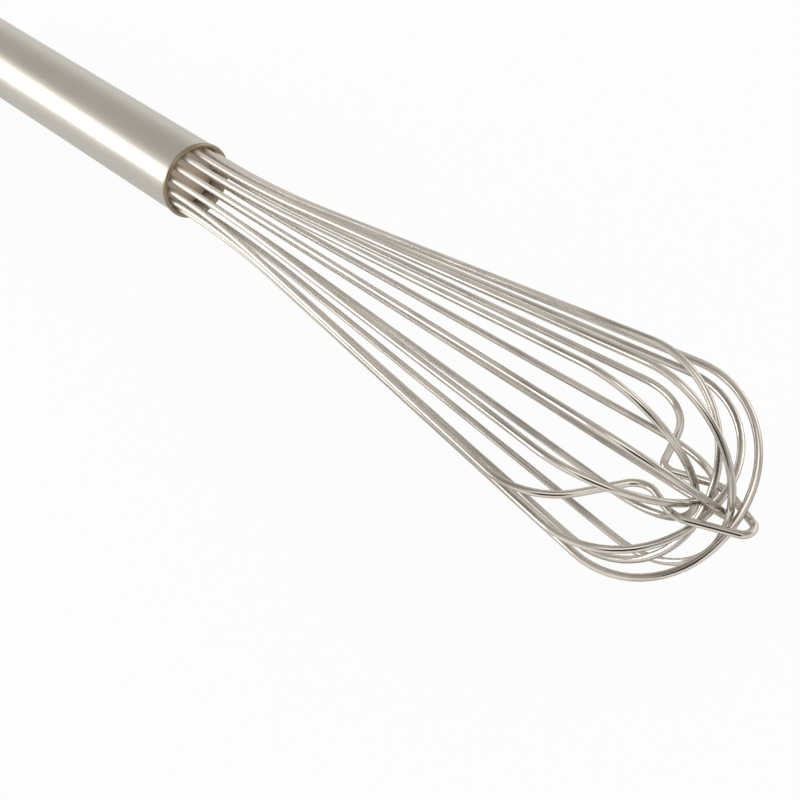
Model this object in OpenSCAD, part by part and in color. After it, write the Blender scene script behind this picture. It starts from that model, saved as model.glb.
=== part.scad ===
// Balloon whisk: a hollow tube handle and a cage of eight wires, lying at rest on a table.
// Every piece is drawn along its own axis first: z runs from the mouth of the handle to the tip
// of the cage, and x points down when the whisk is laid on the table.

/* [Handle] */
// Outside diameter of the tube
handle_d = 22; // [21:0.5:26]
// Length of the tube from its mouth to its butt end
handle_len = 155; // [120:1:200]
// Thickness of the tube's wall
wall = 1; // [0.8:0.1:1.2]
// Height of the rounded lip at the mouth above the outside of the tube
lip_proud = 0.3; // [0.1:0.05:0.5]

/* [Wire cage] */
// Diameter of the wires
wire_d = 1.8; // [1.5:0.1:1.9]
// Largest radius of the cage, to the middle of a wire
belly_r = 25.2; // [24.8:0.1:27]
// Reach of the innermost loop past the mouth, to the middle of its wire
inner_reach = 175.9; // [160:0.1:200]
// Gap between two wires where they cross at the tip
nest_gap = 0.12; // [0.1:0.01:0.3]
// Sideways offset of the two innermost loops at the tip
side_shift = 1; // [0:0.1:1.2]
// Straight run of a leg outside the mouth
leg_run = 7.5; // [5:0.5:15]
// Length of a leg inside the handle
leg_depth = 50; // [40:1:60]
// Gap between a leg and the inside of the tube
leg_gap = 0.1; // [0.05:0.05:0.3]

/* [Bends of the loops] */
// Radius of the long flare that opens the cage
flare_r = 310; // [250:5:400]
// Radius of the shoulders at the widest part
shoulder_r = 24; // [20:0.1:24.4]
// Radius of the crown across the tip
crown_r = 28; // [24:0.5:30]
// Slope of the wire where the crown meets the shoulder
crown_slope = 8.6; // [6:0.1:12]

/* [Tip lock wire] */
// Distance of the hairpin past the outermost loop
hairpin_clear = 4.1; // [3.5:0.1:6]
// Radius of the hairpin's two bends
hairpin_r = 2.5; // [2:0.1:2.8]
// Angle by which the near leg leans to one side at the belly
lock_lean = 11; // [0:1:12]
// Height past the mouth at which both legs begin to spread
lock_run = 20; // [15:1:25]
// Radius of the long flare of both legs
lock_flare_r = 300; // [250:5:350]

/* [Tip lock wire, near side] */
// Distance of the belly's corner outside the belly of the loops
near_belly_out = 1; // [0.5:0.1:1.5]
// Distance of the belly's corner below the tip of the innermost loop
near_belly_drop = 24.9; // [22:0.1:27]
// Radius of the bend at the belly
near_belly_r = 21; // [18:0.5:22]
// Distance of the waist from the axis
near_waist = 4; // [3.5:0.1:4.5]
// Distance of the waist below the tip of the innermost loop
near_waist_drop = 9.4; // [9:0.1:10]
// Radius of the bend at the waist
near_waist_r = 5.5; // [4.5:0.1:6]
// Distance of the bulge from the axis
near_bulge = 9.4; // [9:0.1:10]
// Height of the bulge above the tip of the innermost loop
near_bulge_rise = 1.8; // [1.5:0.1:2.5]
// Radius of the bend at the bulge
near_bulge_r = 7; // [6:0.1:7.5]
// Distance of the hairpin's corner from the axis
near_hairpin = 2.4; // [2.3:0.1:2.8]

/* [Tip lock wire, far side] */
// Distance of the belly's corner outside the belly of the loops
far_belly_out = 0.8; // [0.5:0.1:1.5]
// Distance of the belly's corner below the tip of the innermost loop
far_belly_drop = 19.9; // [18:0.1:22]
// Radius of the bend at the belly
far_belly_r = 17.5; // [15:0.5:18.5]
// Distance of the waist from the axis
far_waist = 1.2; // [1:0.1:1.6]
// Distance of the waist below the tip of the innermost loop
far_waist_drop = 9.7; // [9.2:0.1:10]
// Radius of the bend at the waist
far_waist_r = 3; // [2.5:0.1:3.5]
// Distance of the bulge from the axis
far_bulge = 7; // [6.8:0.1:7.5]
// Height of the bulge above the tip of the innermost loop
far_bulge_rise = 3.1; // [2.8:0.1:3.5]
// Radius of the bend at the bulge
far_bulge_r = 8; // [7:0.1:8.5]
// Distance of the hairpin's corner from the axis
far_hairpin = 1.3; // [1.2:0.1:1.6]

/* [Core] */
// Distance of the core's front from the mouth
core_front = 5; // [3:1:30]
// Length of the core past the ends of the legs
core_past = 4; // [2:1:10]
// Gap between a leg and its groove
groove_gap = 0.05; // [0.02:0.01:0.1]

/* [Butt end] */
// Height of the cap's dome
dome_h = 5; // [4:0.5:7]
// Length of the cap's spigot inside the tube
spigot_len = 10; // [6:1:16]
// Gap between the spigot and the tube, and between the eye's shank and the cap
press_gap = 0.03; // [0.01:0.01:0.05]
// Diameter of the eye's shank
shank_d = 4; // [3:0.5:4.5]
// Radius of the eye's lug
lug_r = 4; // [3.5:0.1:4.5]
// Width of the eye's lug
lug_w = 3; // [2.5:0.1:3.5]
// Mean radius of the hanging ring
ring_r = 8; // [7:0.1:8.2]
// Diameter of the hanging ring's wire
ring_wire_d = 2.2; // [1.8:0.1:2.4]
// Gap all round the ring in the eye
ring_gap = 0.4; // [0.35:0.05:0.5]

/* [Hidden] */

round_steps = 96;
wire_steps = 24;
bend_steps = 16;
overcut = 1;
// A run is drawn a little thinner than a bend and ends this far inside it
run_inset = 0.02;
run_lap = 0.2;

handle_r = handle_d / 2;
inner_r = handle_r - wall;
lip_r = (wall + lip_proud) / 2;
leg_r = inner_r - leg_gap - wire_d / 2;

// Sixteen legs stand on one circle. Each wire has its own slot and the two legs of a wire face each other.
leg_count = 16;
slot_pitch = 360 / leg_count;
slot_0 = 146.25;
loop_slots = [0, 1, 2, 3, 4, 6, 7];
lock_slot = 5;
// Place of each loop in the nest at the tip, counted from the inside, and the way that it is set aside
nest_levels = [2, 5, 0, 4, 1, 3, 6];
aside = [0, 0, -1, 0, 1, 0, 0];
nest_pitch = wire_d + nest_gap;

// Heights past the mouth of a loop's tip, of the corner that its crown rounds and of its belly
function reach(level) = inner_reach + level * nest_pitch;
function crown_z(level) = reach(level) + crown_r / cos(crown_slope) - crown_r;
function belly_z(level) = crown_z(level) - (belly_r - shoulder_r) * tan(crown_slope)
    - shoulder_r / cos(crown_slope);
function shift(i) = aside[i] * side_shift;
hairpin_z = reach(max(nest_levels)) + hairpin_clear;
core_len = leg_depth + core_past - core_front;

// The cap's dome is cut flat on top as a seat for the eye's collar
seat_r = 3.2;
collar_r = 3;
collar_h = 1.2;
head_r = 3.4;
head_h = 1.4;
dome_r = (pow(handle_r, 2) + pow(dome_h, 2)) / (2 * dome_h);
seat_h = sqrt(pow(dome_r, 2) - pow(seat_r, 2)) - dome_r + dome_h;
eye_z = -handle_len - seat_h - collar_h / 2 - lug_r;
ring_z = eye_z - ring_r;

// At rest the whisk lies on the edge of its butt end and on the far legs of loops 2 and 3, which
// stand half a slot to either side of straight down. The tilt and the small roll that bring both
// legs down to the table are found by repeated steps.
half_slot = slot_pitch / 2;
rest_steps = 12;
function drop(level, off, set, tilt) = cos(tilt) * ((belly_r - shoulder_r) * cos(off) + set * sin(off))
    + shoulder_r * sqrt(pow(sin(tilt), 2) + pow(cos(off) * cos(tilt), 2)) + wire_d / 2;
function next_tilt(tilt, roll) = asin((drop(nest_levels[2], half_slot + roll, shift(2), tilt)
    - handle_r * cos(tilt)) / (handle_len + belly_z(nest_levels[2])));
function next_roll(tilt, roll) = asin(((nest_levels[1] - nest_levels[2]) * nest_pitch * tan(tilt)
    + shift(2) * sin(half_slot + roll)) / (2 * belly_r * sin(half_slot)));
function settle(rest, steps) = steps == 0 ? rest
    : settle([next_tilt(rest[0], rest[1]), next_roll(rest[0], rest[1])], steps - 1);
rest = settle([0, 0], rest_steps);
rest_tilt = rest[0];
rest_roll = rest[1];
rest_z = handle_len * sin(rest_tilt) + handle_r * cos(rest_tilt);
tip_x = (hairpin_z + wire_d / 2) * cos(rest_tilt);
butt_x = ring_z * cos(rest_tilt) - ring_r - ring_wire_d / 2;

function slot_turn(slot) = slot_0 + rest_roll + slot * slot_pitch;
function flip(v) = [-v[0], v[1]];
function spot(turn, x, y, z) = [x * cos(turn) - y * sin(turn), x * sin(turn) + y * cos(turn), z];

// Corners of half a loop, from the end of the leg to the tip, as distance from the axis and height
function half_loop(level) =
    let (
        shoulder = [belly_r - shoulder_r, belly_z(level)],
        flare = [leg_r + flare_r, leg_run],
        across = shoulder - flare,
        slope = atan2(across[0], across[1]) + asin((flare_r + shoulder_r) / norm(across)),
        corner = (90 + slope + crown_slope) / 2,
        corner_r = shoulder_r / cos((90 + slope - crown_slope) / 2)
    )
    [
        [leg_r, -leg_depth],
        [leg_r, leg_run + flare_r * tan(slope / 2)],
        shoulder + corner_r * [sin(corner), cos(corner)],
        [0, crown_z(level)]
    ];
// A loop's legs stand on the leg circle, and its shoulders and crown may be set aside from its plane
function loop_corners(i) =
    let (
        half = half_loop(nest_levels[i]),
        flat = concat(half, [for (c = [2:-1:0]) flip(half[c])]),
        turn = slot_turn(loop_slots[i])
    )
    [for (c = [0:6]) spot(turn, flat[c][0], c > 1 && c < 5 ? shift(i) : 0, flat[c][1])];

// Corners of one side of the lock wire, from the end of the leg to the hairpin
function lock_side(belly, waist, bulge, hairpin) =
    [[leg_r, -leg_depth], [leg_r, lock_run], belly, waist, bulge, [hairpin, hairpin_z]];

function unit(v) = v / norm(v);
function bend_angle(a, b, c) = acos(unit(b - a) * unit(c - b));
function square_to(d) = unit(cross(d, abs(d[2]) < 0.9 ? [0, 0, 1] : [1, 0, 0]));

// Lays the whisk on the table, with the tip towards +X and the origin under the middle of its length
module lay() {
    translate([-(tip_x + butt_x) / 2, 0, rest_z]) rotate([0, 90 - rest_tilt, 0]) children();
}

// Moves children to a point with their own x, y and z along three given directions
module set_at(p, x, y, z) {
    multmatrix([
        [x[0], y[0], z[0], p[0]],
        [x[1], y[1], z[1], p[1]],
        [x[2], y[2], z[2], p[2]],
        [0, 0, 0, 1]
    ]) children();
}

// Straight piece of wire from a to b, left short at both ends for the bends
module run(a, b, short_a, short_b) {
    along = unit(b - a);
    side = square_to(along);
    from = max(0, short_a - run_lap);
    to = norm(b - a) - max(0, short_b - run_lap);
    set_at(a + along * from, side, cross(along, side), along)
        cylinder(r = wire_d / 2 - run_inset, h = to - from, $fn = wire_steps);
}

// Bend of radius r that rounds the corner b between a and c
module bend(a, b, c, r) {
    angle = bend_angle(a, b, c);
    ahead = unit(b - a);
    middle = b + unit(unit(a - b) + unit(c - b)) * r / cos(angle / 2);
    out = unit(b - ahead * r * tan(angle / 2) - middle);
    set_at(middle, out, ahead, cross(out, ahead))
        rotate_extrude(angle = angle, $fn = ceil(bend_steps * 360 / angle))
            translate([r, 0]) circle(d = wire_d, $fn = wire_steps);
}

// Wire through a list of corners, with a bend radius for each corner between the ends
module wire(corners, radii) {
    last = len(corners) - 1;
    short = [for (i = [0:last]) i == 0 || i == last ? 0
        : radii[i - 1] * tan(bend_angle(corners[i - 1], corners[i], corners[i + 1]) / 2)];
    for (i = [0:last - 1]) run(corners[i], corners[i + 1], short[i], short[i + 1]);
    for (i = [1:last - 1]) bend(corners[i - 1], corners[i], corners[i + 1], radii[i - 1]);
}

module handle_tube() {
    color([0.72, 0.70, 0.67]) lay() rotate_extrude($fn = round_steps) {
        translate([inner_r, -handle_len]) square([wall, handle_len - lip_r]);
        translate([inner_r + lip_r, -lip_r]) circle(lip_r, $fn = round_steps);
    }
}

module wire_core() {
    color([0.5, 0.5, 0.5]) lay() translate([0, 0, -core_front - core_len]) difference() {
        cylinder(r = leg_r, h = core_len, $fn = round_steps);
        for (leg = [0:leg_count - 1]) translate(spot(slot_turn(leg), leg_r, 0, -overcut))
            cylinder(d = wire_d + 2 * groove_gap, h = core_len + 2 * overcut, $fn = wire_steps);
    }
}

module end_cap() {
    color([0.72, 0.70, 0.67]) lay() translate([0, 0, -handle_len]) difference() {
        union() {
            cylinder(r = inner_r - press_gap, h = spigot_len, $fn = round_steps);
            rotate_extrude($fn = round_steps) intersection() {
                translate([0, dome_r - dome_h]) circle(dome_r, $fn = 2 * round_steps);
                translate([0, -seat_h]) square([handle_r, seat_h]);
            }
        }
        translate([0, 0, -seat_h - overcut])
            cylinder(d = shank_d + 2 * press_gap, h = seat_h + spigot_len + 2 * overcut, $fn = round_steps);
    }
}

module hanging_eye() {
    color([0.66, 0.65, 0.63]) lay() difference() {
        union() {
            translate([0, 0, -handle_len - seat_h - collar_h]) cylinder(r = collar_r, h = collar_h, $fn = round_steps);
            translate([0, 0, -handle_len - seat_h]) cylinder(d = shank_d, h = seat_h + spigot_len, $fn = round_steps);
            translate([0, 0, -handle_len + spigot_len]) cylinder(r = head_r, h = head_h, $fn = round_steps);
            translate([0, 0, eye_z]) rotate([0, 90, 0])
                cylinder(r = lug_r, h = lug_w, center = true, $fn = round_steps);
        }
        translate([0, 0, eye_z]) rotate([0, 90, 0])
            cylinder(r = ring_wire_d / 2 + ring_gap, h = lug_w + 2 * overcut, center = true, $fn = round_steps);
    }
}

module hanging_ring() {
    color([0.7, 0.69, 0.66]) lay() translate([0, 0, ring_z]) rotate([90, 0, 0])
        rotate_extrude($fn = round_steps) translate([ring_r, 0]) circle(d = ring_wire_d, $fn = round_steps / 2);
}

// Plain loop i, counted from 0
module wire_loop(i) {
    color([0.68, 0.65, 0.6]) lay()
        wire(loop_corners(i), [flare_r, shoulder_r, crown_r, shoulder_r, flare_r]);
}

module tip_lock_wire() {
    near = lock_side(
        [belly_r + near_belly_out, inner_reach - near_belly_drop],
        [near_waist, inner_reach - near_waist_drop],
        [near_bulge, inner_reach + near_bulge_rise],
        near_hairpin
    );
    far = lock_side(
        [belly_r + far_belly_out, inner_reach - far_belly_drop],
        [far_waist, inner_reach - far_waist_drop],
        [far_bulge, inner_reach + far_bulge_rise],
        far_hairpin
    );
    turn = slot_turn(lock_slot);
    corners = concat(
        [for (c = [0:5]) spot(turn + (c == 2 ? lock_lean : 0), near[c][0], 0, near[c][1])],
        [for (c = [5:-1:0]) spot(turn, -far[c][0], 0, far[c][1])]
    );
    color([0.68, 0.65, 0.6]) lay() wire(corners, [
        lock_flare_r, near_belly_r, near_waist_r, near_bulge_r, hairpin_r,
        hairpin_r, far_bulge_r, far_waist_r, far_belly_r, lock_flare_r
    ]);
}

handle_tube();
wire_core();
end_cap();
hanging_eye();
hanging_ring();
wire_loop(0);  // wire_loop_1
wire_loop(1);  // wire_loop_2
wire_loop(2);  // wire_loop_3
wire_loop(3);  // wire_loop_4
wire_loop(4);  // wire_loop_5
wire_loop(5);  // wire_loop_6
wire_loop(6);  // wire_loop_7
tip_lock_wire();
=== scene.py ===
"""Looks of the balloon whisk: steel finishes, studio light, floor and camera."""
import math

import bmesh
import bpy
from mathutils import Euler, Matrix, Vector


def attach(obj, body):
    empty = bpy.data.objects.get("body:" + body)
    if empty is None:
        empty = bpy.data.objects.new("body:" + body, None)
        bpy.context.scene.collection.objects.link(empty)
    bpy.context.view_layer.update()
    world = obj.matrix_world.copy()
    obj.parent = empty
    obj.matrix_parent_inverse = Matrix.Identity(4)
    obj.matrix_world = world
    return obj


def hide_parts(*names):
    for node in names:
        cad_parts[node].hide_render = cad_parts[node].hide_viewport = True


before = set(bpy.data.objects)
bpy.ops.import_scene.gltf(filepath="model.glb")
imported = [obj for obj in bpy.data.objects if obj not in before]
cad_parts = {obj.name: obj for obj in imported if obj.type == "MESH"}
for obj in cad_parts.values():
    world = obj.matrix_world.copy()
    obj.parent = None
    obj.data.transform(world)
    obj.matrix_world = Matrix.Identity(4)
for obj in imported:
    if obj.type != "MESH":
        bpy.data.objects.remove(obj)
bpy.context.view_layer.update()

MM = 0.001

# The whisk's own axis: a point on it at the mouth of the handle, and its slope on the table
MOUTH = Vector((-5.53, 0.0, 18.21)) * MM
TILT = math.radians(2.67)
INNER_RADIUS = 10.0 * MM
LIP_LENGTH = 1.4 * MM

# Wires of the cage, in millimetres along the whisk's own axis from the mouth and out from it
WIRE_RADIUS = 0.88
LEG_CIRCLE = 9.0
LEG_DEPTH = 50.0
LEG_RUN = 7.5
BELLY_RADIUS = 25.2
INNER_REACH = 175.9
NEST_PITCH = 1.92
SIDE_SHIFT = 1.0
FLARE_BEND = 310.0
SHOULDER_BEND = 24.0
CROWN_BEND = 28.0
CROWN_SLOPE = math.radians(8.6)
FIRST_SLOT = math.radians(147.589)
SLOT_PITCH = math.radians(22.5)
# For each loop: its slot in the mouth, its place in the nest at the tip and the way it is set aside
LOOPS = ((0, 2, 0), (1, 5, 0), (2, 0, -1), (3, 4, 0), (4, 1, 1), (6, 3, 0), (7, 6, 0))
LOCK_SLOT = 5
LOCK_LEAN = math.radians(11.0)
LOCK_RUN = 20.0
HAIRPIN_PAST_NEST = 15.62
# Corners of the lock wire as distance from the axis and height past the innermost loop's tip
LOCK_NEAR = ((26.2, -24.9), (4.0, -9.4), (9.4, 1.8), (2.4, HAIRPIN_PAST_NEST))
LOCK_FAR = ((26.0, -19.9), (1.2, -9.7), (7.0, 3.1), (1.3, HAIRPIN_PAST_NEST))
LOCK_BENDS = (300.0, 21.0, 5.5, 7.0, 2.5, 2.5, 8.0, 3.0, 17.5, 300.0)
WIRE_SIDES = 24
RUN_STEP = 4.0
BEND_STEP = math.radians(6.0)

# The camera stands in front of the tip, to the right of the whisk, and looks down at it
CAMERA_AT = Vector((278.8, -171.1, 261.8)) * MM
CAMERA_TURN = (43.96, 3.08, 46.69)
LENS_MM = 63.94
SENSOR_MM = 36.0

# Linear colours of the steels, light reflected at right angles
HANDLE_COLOUR = (0.60, 0.575, 0.53)
LIP_COLOUR = (0.27, 0.21, 0.13)
# The bore's pale colour, with little metal in it, is painted light: it lifts the shaded hollow of the mouth.
BORE_PAINTED_LIGHT_COLOUR = (0.70, 0.62, 0.52)
WIRE_COLOUR = (0.68, 0.642, 0.60)
# Steel reflects less, and browner, where it turns away from the eye
WIRE_EDGE = (0.55, 0.49, 0.42)
HANDLE_EDGE = (0.97, 0.96, 0.94)
CORE_COLOUR = (0.72, 0.62, 0.51)

# The wires grow duller towards the handle, over this length from its mouth, and are painted paler there as a
# painted highlight spread along them
DULL_LENGTH = 150.0 * MM
DULL_ROUGHNESS = 0.38
NECK_PAINTED_LIGHT = 0.36
NECK_PAINTED_LIGHT_COLOUR = (1.0, 0.985, 0.96)
DULL_EDGE = (0.74, 0.70, 0.65)

# Lines and patches in the steels: scale and detail of their noise, how much of it is lines, and what it does
GRAIN_HEIGHT = 0.05 * MM
FINE_GRAIN = 0.02
HANDLE_LINES = (2600.0, 3.0)
HANDLE_PATCHES = (60.0, 4.0)
HANDLE_LINE_SHARE = 0.6
HANDLE_LINE_RANGE = (0.3, 0.7)
HANDLE_TONES = (0.96, 1.03)
HANDLE_ROUGHNESS = (0.27, 0.33)
LIP_SHARE = 0.85
LIP_FADE = 0.3
BORE_EDGE = 0.25 * MM
BORE_ROUGHNESS = 0.15
BORE_METALLIC = 0.2
DRAWN_LINES = (40.0, 6.0, 1.0)
DRAWN_NOISE = (1.0, 2.0, 0.6)
TURNED_LINES = (1800.0, 2.0)
BRIGHT_PATCHES = (140.0, 3.0)
BRIGHT_LINE_SHARE = 0.8
BRIGHT_LINE_RANGE = (0.36, 0.56)
ROUGHER_IN_LINES = 0.05
SMOOTHER_BETWEEN = 0.03
WIRE_ROUGHNESS = 0.12
WIRE_LINE_DEPTH = 0.48
FITTING_ROUGHNESS = 0.24
FITTING_LINE_DEPTH = 0.12
CORE_MARKS = (1500.0, 2.0)
CORE_TONES = (0.85, 1.1)
CORE_ROUGHNESS = (0.4, 0.55)
CORE_GRAIN = 0.2
CORE_METALLIC = 0.3
# Noise is drawn out by these scales along the tube, and round the turned pieces and the core
ALONG_TUBE = (0.02, 1.0, 1.0)
ROUND_FITTING = (1.0, 0.02, 0.02)
ROUND_CORE = (1.0, 0.03, 0.03)

FLOOR_COLOUR = (0.96, 0.96, 0.955)
FLOOR_SIZE = 6.0
FLOOR_DROP = 0.05 * MM
SHADOW_SHARE = 0.06
MIRRORED_SHARE = 0.6

CEILING_COLOUR = (0.58, 0.55, 0.51)
HORIZON_COLOUR = (0.98, 0.97, 0.95)
WALL_COLOUR = (1.5, 1.46, 1.40)
DARK_COLOUR = (0.05, 0.042, 0.035)
PANEL_COLOUR = (1.5, 1.46, 1.38)
# As seen from the whisk: a bright wall behind it, a panel above the camera and the unlit room below that
WALL_WAY = (0.25, 0.93, 0.27)
PANEL_WAY = (0.26, -0.38, 0.888)
ROOM_WAY = (0.50, -0.866, 0.0)
# Each fades in between two values: the ceiling by height, the wall, the panel and the room by the cosine to
# their middle, and the room's sides by the sine
CEILING_EDGE = (0.1, 0.5)
WALL_EDGE = (0.84, 0.95)
PANEL_EDGE = (0.88, 0.96)
ROOM_EDGE = (0.55, 0.70)
ROOM_SIDES = (0.20, 0.40)

# A low wide window to the left of the whisk as the camera sees it, by its way and distance from the whisk
LIT_POINT = Vector((0.0, 0.0, 0.02))
WINDOW_WAY = (-0.783, -0.622, 0.148)
WINDOW_DISTANCE = 0.9
WINDOW_SIZE = (0.98, 0.39)
WINDOW_WATTS = 3.3
WINDOW_COLOUR = (1.0, 0.985, 0.955)


class Nodes:
    """A short way to write a node tree."""

    def __init__(self, tree):
        self.tree = tree
        tree.nodes.clear()

    def add(self, kind, inputs=None, **settings):
        node = self.tree.nodes.new(kind)
        for name, value in settings.items():
            setattr(node, name, value)
        for name, value in (inputs or {}).items():
            self.set(node.inputs[name], value)
        return node

    def set(self, socket, value):
        if isinstance(value, bpy.types.NodeSocket):
            self.tree.links.new(value, socket)
        else:
            socket.default_value = value

    def math(self, operation, a, b=0.0):
        return self.add("ShaderNodeMath", {0: a, 1: b}, operation=operation).outputs[0]

    def mix(self, share, a, b):
        node = self.add("ShaderNodeMix", {"Factor": share}, data_type="RGBA")
        self.set(node.inputs[6], a)
        self.set(node.inputs[7], b)
        return node.outputs[2]

    def span(self, value, low, high, to_low, to_high):
        """value between low and high, carried over to the span from to_low to to_high."""
        sizes = {1: low, 2: high, 3: to_low, 4: to_high}
        return self.add("ShaderNodeMapRange", {0: value, **sizes}).outputs[0]

    def dot(self, a, b):
        return self.add("ShaderNodeVectorMath", {0: a, 1: b}, operation="DOT_PRODUCT").outputs["Value"]


def rgba(colour):
    return (*colour, 1.0)


def whisk_point(nodes, scale=(1.0, 1.0, 1.0)):
    """Place on the whisk in metres: x along its axis from the mouth, y and z across it."""
    place = nodes.add("ShaderNodeTexCoord").outputs["Object"]
    moved = nodes.add("ShaderNodeVectorMath", {0: place, 1: MOUTH}, operation="SUBTRACT").outputs[0]
    turned = nodes.add("ShaderNodeVectorRotate", {"Vector": moved, "Angle": TILT}, rotation_type="Y_AXIS")
    if scale == (1.0, 1.0, 1.0):
        return turned.outputs[0]
    sized = {0: turned.outputs[0], 1: scale}
    return nodes.add("ShaderNodeVectorMath", sized, operation="MULTIPLY").outputs[0]


def noise(nodes, place, scale, detail=2.0, roughness=0.5):
    inputs = {"Vector": place, "Scale": scale, "Detail": detail, "Roughness": roughness}
    return nodes.add("ShaderNodeTexNoise", inputs).outputs["Fac"]


def toned(colour, factor):
    return rgba([c * factor for c in colour])


def blend(nodes, a, b, share):
    """Sum of a, by its share, and b, by the rest."""
    return nodes.math("ADD", nodes.math("MULTIPLY", a, share), nodes.math("MULTIPLY", b, 1.0 - share))


def new_material(name):
    material = bpy.data.materials.new(name)
    material.use_nodes = True
    return material, Nodes(material.node_tree)


def steel_shader(nodes, colour, edge, roughness, height, bump, metallic=1.0):
    """Bare metal whose colour and roughness come from textures, with a fine grain in its surface."""
    grain = nodes.add("ShaderNodeBump", {"Height": height, "Strength": bump, "Distance": GRAIN_HEIGHT})
    inputs = {"Base Color": colour, "Metallic": metallic, "Roughness": roughness,
              "Specular Tint": edge, "Normal": grain.outputs[0]}
    shader = nodes.add("ShaderNodeBsdfPrincipled", inputs)
    nodes.add("ShaderNodeOutputMaterial", {"Surface": shader.outputs[0]})


def handle_steel():
    """Satin tube: fine polishing lines along it, a brown lip, and a rough bore painted pale and barely
    metallic, painted light in the shaded hollow of the mouth.
    """
    material, nodes = new_material("handle_steel")
    place = whisk_point(nodes)
    part = nodes.add("ShaderNodeSeparateXYZ", {0: place}).outputs
    radius = nodes.math("SQRT", nodes.math("ADD", nodes.math("MULTIPLY", part[1], part[1]),
                                           nodes.math("MULTIPLY", part[2], part[2])))
    lines = noise(nodes, whisk_point(nodes, ALONG_TUBE), *HANDLE_LINES)
    cloud = noise(nodes, place, *HANDLE_PATCHES)
    bore = nodes.span(radius, INNER_RADIUS, INNER_RADIUS + BORE_EDGE, 1.0, 0.0)
    lip = nodes.span(part[0], -(1.0 + LIP_FADE) * LIP_LENGTH, -(1.0 - LIP_FADE) * LIP_LENGTH, 0.0, 1.0)
    tone = nodes.span(blend(nodes, lines, cloud, HANDLE_LINE_SHARE), *HANDLE_LINE_RANGE, 0.0, 1.0)
    plain = nodes.mix(tone, *[toned(HANDLE_COLOUR, factor) for factor in HANDLE_TONES])
    lipped = nodes.mix(nodes.math("MULTIPLY", lip, LIP_SHARE), plain, rgba(LIP_COLOUR))
    # Painted light: the bore takes its pale colour, lifting the shaded hollow.
    colour = nodes.mix(bore, lipped, rgba(BORE_PAINTED_LIGHT_COLOUR))
    satin = nodes.span(tone, 0.0, 1.0, *HANDLE_ROUGHNESS)
    roughness = nodes.math("ADD", satin, nodes.math("MULTIPLY", bore, BORE_ROUGHNESS))
    metallic = nodes.span(bore, 0.0, 1.0, 1.0, BORE_METALLIC)
    steel_shader(nodes, colour, rgba(HANDLE_EDGE), roughness, lines, FINE_GRAIN, metallic)
    return material


def drawn_lines(nodes):
    """Fine lines along a swept wire, from its own lengthwise and round coordinates."""
    place = nodes.add("ShaderNodeTexCoord").outputs["UV"]
    sized = nodes.add("ShaderNodeVectorMath", {0: place, 1: DRAWN_LINES}, operation="MULTIPLY")
    return noise(nodes, sized.outputs[0], *DRAWN_NOISE)


def turned_lines(nodes):
    """Fine lines round a turned piece."""
    return noise(nodes, whisk_point(nodes, ROUND_FITTING), *TURNED_LINES)


def bright_steel(name, colour_value, edge, rough, make_lines, line_depth, dullness_and_painted_light):
    """Bright steel with lines from its making and slightly matt patches; near the handle it grows rougher still
    and is painted paler, a painted highlight spread along it.
    """
    material, nodes = new_material(name)
    lines = make_lines(nodes)
    cloud = noise(nodes, whisk_point(nodes), *BRIGHT_PATCHES)
    along = nodes.add("ShaderNodeSeparateXYZ", {0: whisk_point(nodes)}).outputs[0]
    dull_and_painted_light = nodes.span(along, 0.0, DULL_LENGTH, dullness_and_painted_light, 0.0)
    grain = blend(nodes, lines, cloud, BRIGHT_LINE_SHARE)
    tone = nodes.math("MAXIMUM", nodes.span(grain, *BRIGHT_LINE_RANGE, 0.0, 1.0), dull_and_painted_light)
    drawn = nodes.mix(tone, toned(colour_value, 1.0 - line_depth), toned(colour_value, 1.0 + line_depth / 3))
    # Painted highlight: the colour is lightened towards the handle, standing in for highlight spread over the
    # wires there.
    colour = nodes.mix(nodes.math("MULTIPLY", dull_and_painted_light, NECK_PAINTED_LIGHT), drawn, rgba(NECK_PAINTED_LIGHT_COLOUR))
    lined = nodes.span(grain, *BRIGHT_LINE_RANGE, rough + ROUGHER_IN_LINES, rough - SMOOTHER_BETWEEN)
    roughness = nodes.math("ADD", lined, nodes.math("MULTIPLY", dull_and_painted_light, DULL_ROUGHNESS))
    steel_shader(nodes, colour, nodes.mix(dull_and_painted_light, rgba(edge), rgba(DULL_EDGE)), roughness, lines, FINE_GRAIN)
    return material


def core_metal():
    """Plain turned core with tool marks round it."""
    material, nodes = new_material("core_metal")
    marks = noise(nodes, whisk_point(nodes, ROUND_CORE), *CORE_MARKS)
    colour = nodes.mix(marks, *[toned(CORE_COLOUR, factor) for factor in CORE_TONES])
    roughness = nodes.span(marks, 0.0, 1.0, *CORE_ROUGHNESS)
    steel_shader(nodes, colour, rgba(HANDLE_EDGE), roughness, marks, CORE_GRAIN, CORE_METALLIC)
    return material


def dress(node, material):
    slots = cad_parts[node].data.materials
    slots.clear()
    slots.append(material)


def half_loop(level):
    """Corners of half a loop, from the end of its leg to the tip, as distance from the axis and height."""
    crown = INNER_REACH + level * NEST_PITCH + CROWN_BEND / math.cos(CROWN_SLOPE) - CROWN_BEND
    centre = BELLY_RADIUS - SHOULDER_BEND
    belly = crown - centre * math.tan(CROWN_SLOPE) - SHOULDER_BEND / math.cos(CROWN_SLOPE)
    across = Vector((centre - LEG_CIRCLE - FLARE_BEND, belly - LEG_RUN))
    slope = math.atan2(across.x, across.y) + math.asin((FLARE_BEND + SHOULDER_BEND) / across.length)
    way = (math.pi / 2 + slope + CROWN_SLOPE) / 2
    far = SHOULDER_BEND / math.cos((math.pi / 2 + slope - CROWN_SLOPE) / 2)
    return [(LEG_CIRCLE, -LEG_DEPTH), (LEG_CIRCLE, LEG_RUN + FLARE_BEND * math.tan(slope / 2)),
            (centre + far * math.sin(way), belly + far * math.cos(way)), (0.0, crown)]


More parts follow.
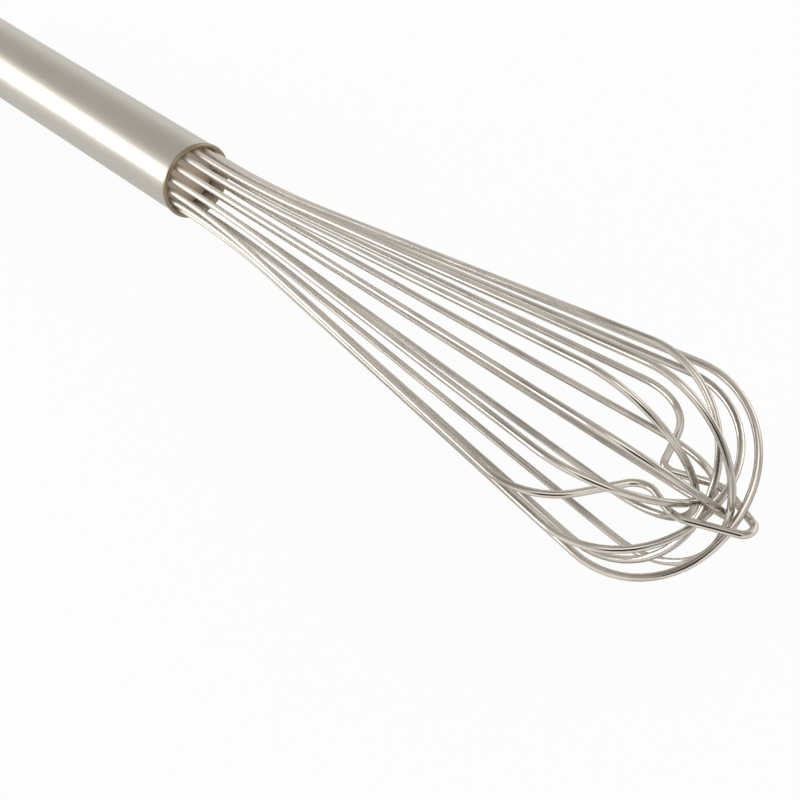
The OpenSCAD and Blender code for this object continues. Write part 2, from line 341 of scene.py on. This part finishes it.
def spot(turn, out, aside, height):
    """Point in the whisk's own frame: z along the axis, and x down when it lies on the table."""
    return Vector((out * math.cos(turn) - aside * math.sin(turn),
                   out * math.sin(turn) + aside * math.cos(turn), height))


def loop_corners(slot, level, aside):
    half = half_loop(level)
    flat = half + [(-out, height) for out, height in reversed(half[:-1])]
    turn = FIRST_SLOT + slot * SLOT_PITCH
    legs = (0, 1, len(flat) - 2, len(flat) - 1)
    return [spot(turn, out, 0.0 if c in legs else aside * SIDE_SHIFT, height)
            for c, (out, height) in enumerate(flat)]


def lock_corners():
    turn = FIRST_SLOT + LOCK_SLOT * SLOT_PITCH
    foot = [(LEG_CIRCLE, -LEG_DEPTH), (LEG_CIRCLE, LOCK_RUN)]
    near = foot + [(out, INNER_REACH + up) for out, up in LOCK_NEAR]
    far = foot + [(out, INNER_REACH + up) for out, up in LOCK_FAR]
    leaned = [spot(turn + (LOCK_LEAN if c == len(foot) else 0.0), out, 0.0, up)
              for c, (out, up) in enumerate(near)]
    return leaned + [spot(turn, -out, 0.0, up) for out, up in reversed(far)]


def straight(start, end):
    """Points of a straight run, without its end."""
    steps = max(1, math.ceil((end - start).length / RUN_STEP))
    return [start.lerp(end, k / steps) for k in range(steps)]


def wire_path(corners, bends):
    """Points along the middle of a wire whose corners are rounded to the given radii."""
    points, start = [], corners[0]
    for before, at, after, radius in zip(corners, corners[1:], corners[2:], bends):
        ahead, onward = (at - before).normalized(), (after - at).normalized()
        angle = ahead.angle(onward)
        enter = at - ahead * radius * math.tan(angle / 2)
        middle = at + (onward - ahead).normalized() * radius / math.cos(angle / 2)
        axis = ahead.cross(onward).normalized()
        steps = math.ceil(max(angle / BEND_STEP, radius * angle / RUN_STEP))
        points += straight(start, enter)
        points += [middle + Matrix.Rotation(angle * k / steps, 3, axis) @ (enter - middle)
                   for k in range(steps)]
        start = at + onward * radius * math.tan(angle / 2)
    return points + straight(start, corners[-1]) + [corners[-1]]


def sweep(name, points):
    """Round wire along points, in even rings of quads, with its length and girth as UV coordinates."""
    mesh = bmesh.new()
    uv = mesh.loops.layers.uv.new("along")
    lay = Matrix.Translation(MOUTH) @ Matrix.Rotation(math.pi / 2 - TILT, 4, "Y") @ Matrix.Scale(MM, 4)
    ways = [(b - a).normalized() for a, b in zip(points, points[1:])]
    ways = [ways[0]] + [(a + b).normalized() for a, b in zip(ways, ways[1:])] + [ways[-1]]
    side = ways[0].orthogonal().normalized()
    rings, lengths, length = [], [], 0.0
    for k, (point, way) in enumerate(zip(points, ways)):
        if k:
            side = ways[k - 1].rotation_difference(way) @ side
            length += (point - points[k - 1]).length * MM
        turns = [Matrix.Rotation(2 * math.pi * n / WIRE_SIDES, 3, way) @ side for n in range(WIRE_SIDES)]
        rings.append([mesh.verts.new(lay @ (point + turn * WIRE_RADIUS)) for turn in turns])
        lengths.append(length)
    for k, (low, high) in enumerate(zip(rings, rings[1:])):
        for n in range(WIRE_SIDES):
            m = (n + 1) % WIRE_SIDES
            face = mesh.faces.new((low[n], low[m], high[m], high[n]))
            face.smooth = True
            for loop, along, round_it in zip(face.loops, (k, k, k + 1, k + 1), (n, n + 1, n + 1, n)):
                loop[uv].uv = (lengths[along], round_it / WIRE_SIDES)
    mesh.faces.new(list(reversed(rings[0])))
    mesh.faces.new(rings[-1])
    data = bpy.data.meshes.new(name)
    mesh.to_mesh(data)
    mesh.free()
    piece = bpy.data.objects.new(name, data)
    bpy.context.collection.objects.link(piece)
    return piece


def make_wires():
    """Each wire of the cage as one smooth sweep in place of its solid."""
    steel = bright_steel("wire_steel", WIRE_COLOUR, WIRE_EDGE, WIRE_ROUGHNESS, drawn_lines,
                         WIRE_LINE_DEPTH, 1.0)
    loop_bends = (FLARE_BEND, SHOULDER_BEND, CROWN_BEND, SHOULDER_BEND, FLARE_BEND)
    paths = {f"wire_loop_{k + 1}": wire_path(loop_corners(*loop), loop_bends) for k, loop in enumerate(LOOPS)}
    paths["tip_lock_wire"] = wire_path(lock_corners(), LOCK_BENDS)
    for node, points in paths.items():
        wire = sweep("drawn_" + node, points)
        wire.data.materials.append(steel)
        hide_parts(node)
        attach(wire, "whisk")


def dress_whisk():
    fitting = bright_steel("fitting_steel", HANDLE_COLOUR, HANDLE_EDGE, FITTING_ROUGHNESS, turned_lines,
                           FITTING_LINE_DEPTH, 0.0)
    for node in ("end_cap", "hanging_eye", "hanging_ring"):
        dress(node, fitting)
    dress("handle_tube", handle_steel())
    dress("wire_core", core_metal())


def make_floor():
    """Pale floor that looks white to the camera and in the steel, and still takes a soft shadow."""
    bpy.ops.mesh.primitive_plane_add(size=FLOOR_SIZE, location=(0.0, 0.0, -FLOOR_DROP))
    floor = bpy.context.object
    floor.name = "floor"
    material, nodes = new_material("floor_white")
    matt = nodes.add("ShaderNodeBsdfDiffuse", {"Color": rgba(FLOOR_COLOUR)})
    white = nodes.add("ShaderNodeEmission", {"Color": rgba((1.0, 1.0, 1.0)), "Strength": 1.0})
    rays = nodes.add("ShaderNodeLightPath").outputs
    to_camera = nodes.math("MULTIPLY", rays["Is Camera Ray"], 1.0 - SHADOW_SHARE)
    in_steel = nodes.math("MULTIPLY", rays["Is Glossy Ray"], 1.0 - MIRRORED_SHARE)
    share = nodes.math("MAXIMUM", to_camera, in_steel)
    both = nodes.add("ShaderNodeMixShader", {0: share, 1: matt.outputs[0], 2: white.outputs[0]})
    nodes.add("ShaderNodeOutputMaterial", {"Surface": both.outputs[0]})
    floor.data.materials.append(material)


def make_world():
    """White to the camera. To the steel, a dim warm ceiling, a bright wall and a dark room."""
    world = bpy.data.worlds.new("studio")
    bpy.context.scene.world = world
    world.use_nodes = True
    nodes = Nodes(world.node_tree)
    way = nodes.add("ShaderNodeTexCoord").outputs["Generated"]
    height = nodes.add("ShaderNodeSeparateXYZ", {0: way}).outputs[2]
    raised = nodes.span(height, *CEILING_EDGE, 0.0, 1.0)
    plain = nodes.mix(raised, rgba(HORIZON_COLOUR), rgba(CEILING_COLOUR))
    walled = nodes.mix(nodes.span(nodes.dot(way, WALL_WAY), *WALL_EDGE, 0.0, 1.0), plain, rgba(WALL_COLOUR))
    lit = nodes.mix(nodes.span(nodes.dot(way, PANEL_WAY), *PANEL_EDGE, 0.0, 1.0), walled, rgba(PANEL_COLOUR))
    aside = nodes.math("ABSOLUTE", nodes.dot(way, (-ROOM_WAY[1], ROOM_WAY[0], 0.0)))
    ahead = nodes.span(nodes.dot(way, ROOM_WAY), *ROOM_EDGE, 0.0, 1.0)
    room = nodes.math("MULTIPLY", nodes.span(aside, *ROOM_SIDES, 1.0, 0.0), ahead)
    studio = nodes.mix(room, lit, rgba(DARK_COLOUR))
    seen = nodes.add("ShaderNodeLightPath").outputs["Is Camera Ray"]
    sky = nodes.add("ShaderNodeBackground", {"Color": nodes.mix(seen, studio, rgba((1.0, 1.0, 1.0)))})
    nodes.add("ShaderNodeOutputWorld", {"Surface": sky.outputs[0]})


def soft_light(name, way, distance, size, watts, colour):
    """Large soft lamp in the direction way from the whisk, turned towards it."""
    lamp = bpy.data.lights.new(name, "AREA")
    lamp.shape = "RECTANGLE"
    lamp.size, lamp.size_y = size
    lamp.energy = watts
    lamp.color = colour
    light = bpy.data.objects.new(name, lamp)
    light.location = LIT_POINT + Vector(way).normalized() * distance
    light.rotation_euler = (light.location - LIT_POINT).to_track_quat("Z", "Y").to_euler()
    light.visible_camera = False
    bpy.context.collection.objects.link(light)


def make_camera():
    data = bpy.data.cameras.new("camera")
    data.lens = LENS_MM
    data.sensor_width = SENSOR_MM
    camera = bpy.data.objects.new("camera", data)
    camera.location = CAMERA_AT
    camera.rotation_euler = Euler([math.radians(turn) for turn in CAMERA_TURN])
    bpy.context.collection.objects.link(camera)
    bpy.context.scene.camera = camera


bpy.context.scene.view_settings.view_transform = "Standard"
make_camera()
dress_whisk()
make_wires()
make_floor()
make_world()
soft_light("window", WINDOW_WAY, WINDOW_DISTANCE, WINDOW_SIZE, WINDOW_WATTS, WINDOW_COLOUR)
